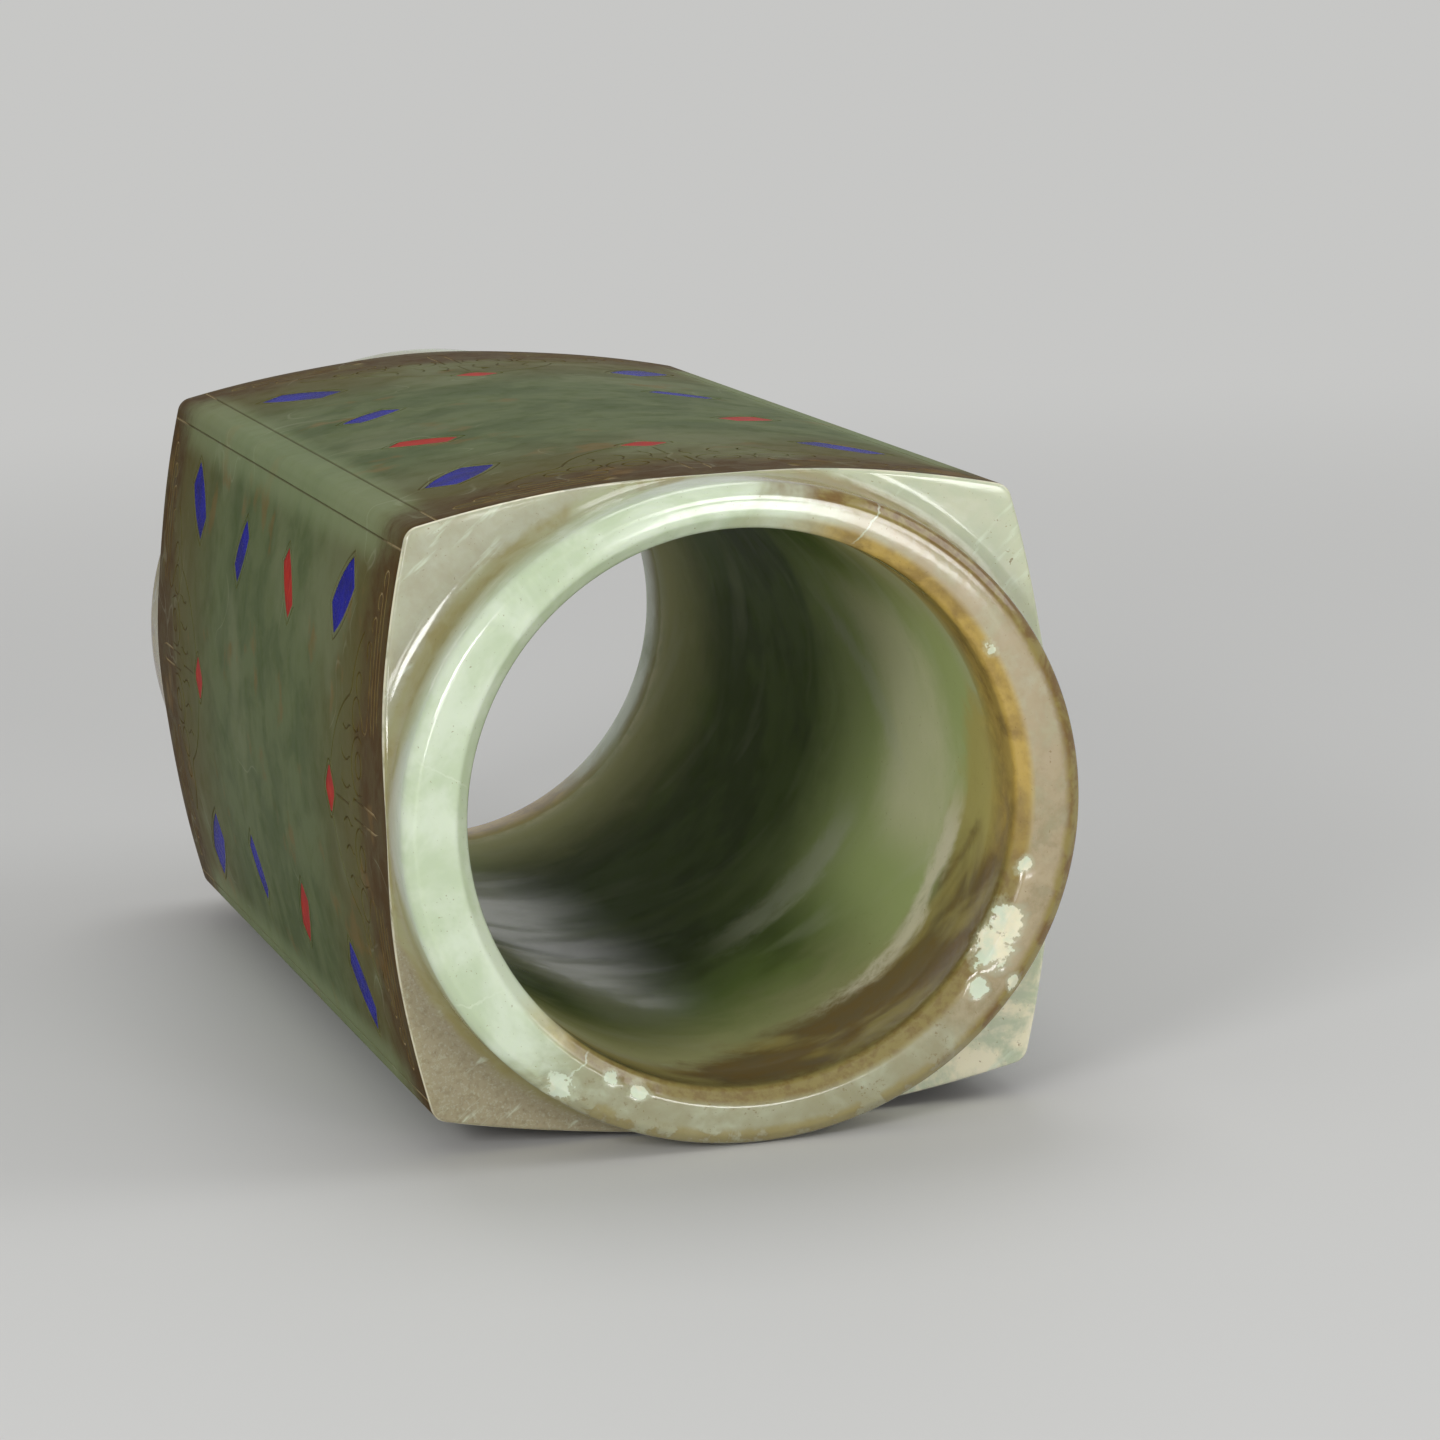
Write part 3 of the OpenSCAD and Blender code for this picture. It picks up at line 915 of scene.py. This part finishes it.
    def bore_wall(self):
        """Green, with painted light that makes it paler near each mouth and on the right wall, milky streaks
        that wind round it, and a painted reflection low down, deep inside.
        """
        f, cloud, from_end, turn = self, self.cloud, self.from_end, self.turn
        inner = f.mix(f.step(f.broad + (cloud - 0.5) * 0.4, 0.40, 0.60), BORE_DARK, BORE_GREEN)
        # Painted light: paler near each mouth, where light comes into the bore, and darker deeper in
        inner = f.mix(f.step(from_end + (cloud - 0.5) * 16, 44, 12), inner, BORE_MOUTH_PAINTED_LIGHT)
        # Painted light: the bore's right wall is painted paler where light falls on it
        wall = f.step(turn, -58, -30) * f.step(turn, 50, 24) * f.step(from_end + (cloud - 0.5) * 14, 78, 54)
        inner = f.mix(wall * 0.9, inner, BORE_RIGHT_PAINTED_LIGHT)
        inner = f.mix(f.step(f.streak, 0.54, 0.72) * 0.25, inner, MILK)
        pale = f.winding(-66, 57, -24, 53, 6).most(f.winding(-8, 40, 24, 60, 5) * 0.6)
        # Painted light: a broad brighter band across the bore's right wall
        inner = f.mix(f.winding(-24, 32, 34, 37, 18) * (0.65 + cloud * 0.35), inner, BORE_RIGHT_PAINTED_LIGHT_BAND)
        # Painted reflection: a pale patch low down, a little to the left, deep in the bore, joins the milky
        # streaks
        pale = pale.most(f.step((turn + 98).abs(), 16, 2) * f.step(from_end, 24, 40))
        return f.mix(pale * (0.35 + f.streak * 0.6), inner, MILK)

    def stained_mouth(self, colour):
        """Brown and amber stains inside the bore's mouth, and one cream streak among them."""
        f, cloud, patch, from_end, streak = self, self.cloud, self.patch, self.from_end, self.streak
        in_bore = f.step(f.ring, 29.9, 29.0) * (1 - f.outer)
        reach = 7 + f.around(-42, 32, 36) * 12
        mouth = f.step(from_end + (patch - 0.5) * 6, reach + 5, reach - 3) * f.around(-30, 92, 30, 24)
        lip = f.step(from_end + (patch - 0.5) * 3, 1.6, 5.0)
        deep = f.mix(f.step(patch, 0.3, 0.65), WOOD_BROWN, GREY_BROWN)
        deep = f.mix(f.step(streak + (cloud - 0.5) * 0.3, 0.46, 0.62) * 0.6, deep, YELLOW_OLIVE)
        low_stain = f.mix(lip, f.mix(f.step(f.grain, 0.4, 0.66) * 0.7, LIP_OLIVE, WOOD_BROWN), deep)
        side_stain = f.mix(f.step(patch, 0.36, 0.7) * 0.65, AMBER, WOOD_BROWN)
        side_stain = f.mix(f.step(from_end + (cloud - 0.5) * 6, 4, 12), side_stain, YELLOW_OLIVE)
        stain = f.mix(f.around(-72, 46, 26), side_stain, low_stain)
        colour = f.mix(in_bore * mouth * 0.88, colour, stain)
        bright = f.winding(-64, 19, -9, 21, 4) * f.step(streak + (patch - 0.5) * 0.4, 0.40, 0.56)
        return f.mix(bright * f.bore * 0.8, colour, CREAM)

    def chipping(self):
        """Ragged distance to the nearest chip, over its reach: under 1 inside one."""
        chips = None
        for angle, r, reach, _, end in CHIPS:
            place = tuple(chip_place(angle, r, end))
            away = self.vector("DISTANCE", self.p, place, 1) / reach
            chips = away if chips is None else chips.least(away)
        return chips + (self.grain - 0.5) * 1.6 + (self.patch - 0.5) * 1.8

    def flaws(self, colour, chips, chip):
        """Specks, milky veins, hairlines, chips, carved lines, a painted highlight along the shaft's end
        edges and the cement in the pockets.
        """
        f, patch = self, self.patch
        colour = f.mix(f.step(f.speck, 0.68, 0.74) * f.step(f.grain, 0.48, 0.6) * 0.5, colour, WOOD_BROWN)
        vein = f.noise(f.p, 0.05, 2, 0.45, 0.3)
        vein = f.step((vein - 0.5).abs(), 0.006, 0.0) * f.step(f.broad, 0.48, 0.56)
        colour = f.mix(vein * f.outer * 0.12, colour, MILK)
        rim = f.step(f.from_end, 1.6, 0.5) * (1 - f.outer)
        for at in HAIRLINES:
            off = (f.angle - at).wrapped() + (patch - 0.5) * 4 + (f.ring - 31) * 0.6
            colour = f.mix(f.step(off.abs(), 0.3, 0.1) * rim * 0.55, colour, PALE_MINT)
        colour = f.mix(f.step(chips, 1.6, 1.0) * 0.25, colour, PALE_MINT)
        broken = f.mix(f.step(f.cloud + (f.grain - 0.5) * 0.5, 0.34, 0.58), PALE_MINT, CREAM)
        colour = f.mix(chip * 0.92, colour, broken)
        carved = f.mix(f.step(f.inward, 10, 5), DARK_BROWN, SCRATCHED)
        colour = f.mix(f.attribute("zone", 3) * 0.7, colour, carved)
        # Painted highlight: a pale cream line along the rounded edges at the shaft's ends
        colour = f.mix(f.attribute("worn", 2) * f.step(patch, 0.34, 0.56) * 0.7, colour, CREAM)
        return f.mix(f.pocket, colour, POCKET_BROWN)

    def polish(self, colour, chip):
        """Mirror-like collars and lower left bore wall, duller faces, and scratches beside the shoulders."""
        f, cloud, patch = self, self.cloud, self.patch
        scratch = f.step(f.noise(f.stretched(f.p, (0.5, 5.0, 0.5)), 1.0, 2, 0.5, 0.2), 0.60, 0.68)
        scratch = scratch * f.outer * f.step(f.inward, 13, 5)
        rough = 0.11 + f.step(patch, 0.45, 0.7) * 0.08 + chip * 0.45 + scratch * 0.12
        bump = f.bump(cloud * 0.5 + f.grain * 0.015 + scratch * 0.03 + chip * f.grain * 0.35, 0.3, 0.0004)
        stone = dict(Base_Color=colour, Normal=bump, Subsurface_Radius=JADE_GLOW)
        polished = f.principled(IOR=POLISHED_IOR, Subsurface_Weight=0.35, Subsurface_Scale=0.004,
                                Roughness=rough, **stone)
        satin = f.principled(IOR=SATIN_IOR, Subsurface_Weight=0.2, Subsurface_Scale=0.002,
                             Roughness=rough + 0.3, **stone)
        sheen = f.step(f.up, -17, -25) * f.step(f.x, 8, -3) * f.step(f.from_end + (cloud - 0.5) * 14, 26, 48)
        sheen = sheen * (0.45 + f.step(f.streak, 0.36, 0.58) * 0.55)
        dull = f.step(f.from_end, 3, 9) * f.bore * (1 - sheen * 0.75) + f.outer * 0.94
        return f.blend(dull, polished, satin)


def jade():
    """Celadon jade: mint collars stained brown at one side, olive faces with brown ends, milky streaks."""
    f = Jade()
    colour = f.mix(f.outer, f.shoulders(f.collars()), f.faces())
    colour = f.mix(f.step(f.from_end, 4, 14) * f.bore, colour, f.bore_wall())
    chips = f.chipping()
    chip = f.step(chips, 1.0, 0.84)
    return f.finish(f.polish(f.flaws(f.stained_mouth(colour), chips, chip), chip))


def lapis():
    """Lapis: deep blue with paler clouds and a few gold flecks."""
    f = Finish(bpy.data.materials.new("lapis_polished"))
    p = f.place()
    cloud = f.noise(p, 0.25, 4, 0.6)
    grain = f.noise(p, 1.6, 4, 0.65)
    gold = f.noise(p, 3.4, 2, 0.5)
    colour = f.mix(f.step(cloud, 0.35, 0.65), LAPIS_DEEP, LAPIS_BLUE)
    colour = f.mix(f.step(grain, 0.60, 0.76) * 0.22, colour, LAPIS_PALE)
    flecks = f.step(gold, 0.73, 0.77)
    colour = f.mix(flecks, colour, GOLD)
    return f.finish(f.principled(IOR=SATIN_IOR, Base_Color=colour, Roughness=0.2 + grain * 0.15,
                                 Metallic=flecks * 0.7, Normal=f.bump(grain, 0.12, 0.0002)))


def coral():
    """Coral: red with orange clouds and faint growth lines."""
    f = Finish(bpy.data.materials.new("coral_polished"))
    p = f.place()
    cloud = f.noise(p, 0.4, 4, 0.6)
    bands = f.noise(f.stretched(p, (0.5, 2.5, 0.5)), 1.0, 3, 0.5)
    colour = f.mix(f.step(cloud, 0.3, 0.7), CORAL_DEEP, CORAL_RED)
    colour = f.mix(f.step(bands, 0.55, 0.75) * 0.35, colour, CORAL_PALE)
    return f.finish(f.principled(IOR=SATIN_IOR, Base_Color=colour, Roughness=0.24 + cloud * 0.12,
                                 Normal=f.bump(bands, 0.1, 0.0002)))


# ------------------------ the object

mesh = jade_mesh()
tube = placed("jade_tube_carved", mesh)
mesh.materials.append(jade())
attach(tube, "root")
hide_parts("jade_tube")

stones = {"lapis": lapis(), "coral": coral()}
for node, obj in frame["nodes"].items():
    if node != "jade_tube":
        finish = stones["coral" if "gem" in node or "coral" in node else "lapis"]
        obj.data.materials.clear()
        obj.data.materials.append(finish)

# ------------------------ floor, light and camera

# Colour of the ground as the camera sees it, and strength of the soft light from all round
BACKGROUND = (0.57, 0.57, 0.56)
WORLD_LIGHT = 0.37
# Half the floor's side in metres, and where it turns into the even ground, in millimetres from the tube
FLOOR_HALF = 12.0
FADE_FROM, FADE_TO = 170, 620
FLOOR_COLOUR = (0.62, 0.62, 0.61, 1)
# Square area lamps: name, place, aim, side and power, in metres and watts
LAMPS = (("key", (-0.50, -0.62, 0.34), (0, -0.05, 0.03), 0.24, 2.8),
         ("front", (0.29, -0.92, 0.15), (0, -0.05, 0.03), 0.27, 2.3),
         ("edge", (-0.34, -0.78, 0.12), (0, -0.05, 0.03), 0.17, 0.7),
         ("fill", (0.60, -0.20, 0.45), (0, -0.03, 0.03), 0.40, 1.2),
         ("top", (0.05, 0.25, 0.75), (0, 0, 0.03), 0.40, 1.5))
# Camera: picture width and focal length in millimetres, nearest distance that it sees and place in metres,
# counted from the middle of the near collar's end, and the directions that it looks in and holds up
PICTURE_WIDTH, FOCAL_LENGTH, CLIP_START = 36.0, 134.29, 0.01
CAMERA_LEFT, CAMERA_BACK, CAMERA_HIGH = 0.13797, 0.50026, 0.10005
LOOK, UP = (0.25732, 0.95104, -0.17120), (0.08290, 0.15479, 0.98446)


def floor():
    """A plain pale floor. Far from the object it turns into an even pale ground for the camera."""
    n = FLOOR_HALF
    data = bpy.data.meshes.new("floor")
    data.from_pydata([(-n, -n, 0), (n, -n, 0), (n, n, 0), (-n, n, 0)], [], [(0, 1, 2, 3)])
    obj = placed("floor", data)
    f = Finish(bpy.data.materials.new("floor_pale"))
    x, y, _ = f.split(f.place())
    away = (x * x + y * y).root()
    seen = f.node("ShaderNodeLightPath") * f.step(away, FADE_FROM, FADE_TO)
    plain = f.principled(Base_Color=FLOOR_COLOUR, Roughness=0.6)
    glow = f.node("ShaderNodeEmission", Color=(*BACKGROUND, 1), Strength=1.0)
    data.materials.append(f.finish(f.blend(seen, plain, glow)))


def lamp(name, at, aim, size, power):
    """A square area lamp at a place, aimed at another."""
    data = bpy.data.lights.new(name, "AREA")
    data.shape = "SQUARE"
    data.size, data.energy = size, power
    obj = placed(name, data)
    turn = (Vector(aim) - Vector(at)).to_track_quat("-Z", "Y")
    obj.matrix_world = Matrix.Translation(at) @ turn.to_matrix().to_4x4()


def world():
    """Soft light from all round, and the pale ground that the camera and mirrors see past the floor."""
    f = Finish(bpy.data.worlds.new("studio"), "World")
    soft = f.node("ShaderNodeBackground", Color=(1, 1, 1, 1), Strength=WORLD_LIGHT)
    seen = f.node("ShaderNodeBackground", Color=(*BACKGROUND, 1), Strength=1.0)
    direct = f.node("ShaderNodeLightPath")
    rays = direct.socket.node.outputs
    for word in ("Is Glossy Ray", "Is Transmission Ray"):
        direct = direct.most(rays[word])
    bpy.context.scene.world = f.finish(f.blend(direct, soft, seen))


def camera():
    """The photograph's viewpoint, found from the tube's corners, rims and far bore edge."""
    data = bpy.data.cameras.new("camera")
    data.sensor_width, data.lens, data.clip_start = PICTURE_WIDTH, FOCAL_LENGTH, CLIP_START
    obj = placed("camera", data)
    look = Vector(LOOK).normalized()
    right = look.cross(Vector(UP)).normalized()
    up = right.cross(look)
    at = Vector((-CAMERA_LEFT, -HALF_L * MM - COLLAR_H * MM - CAMERA_BACK, HALF_H * MM + CAMERA_HIGH))
    obj.matrix_world = Matrix((right, up, -look)).transposed().to_4x4()
    obj.matrix_world.translation = at
    bpy.context.scene.camera = obj


floor()
for entry in LAMPS:
    lamp(*entry)
world()
camera()
bpy.context.scene.view_settings.view_transform = "Standard"
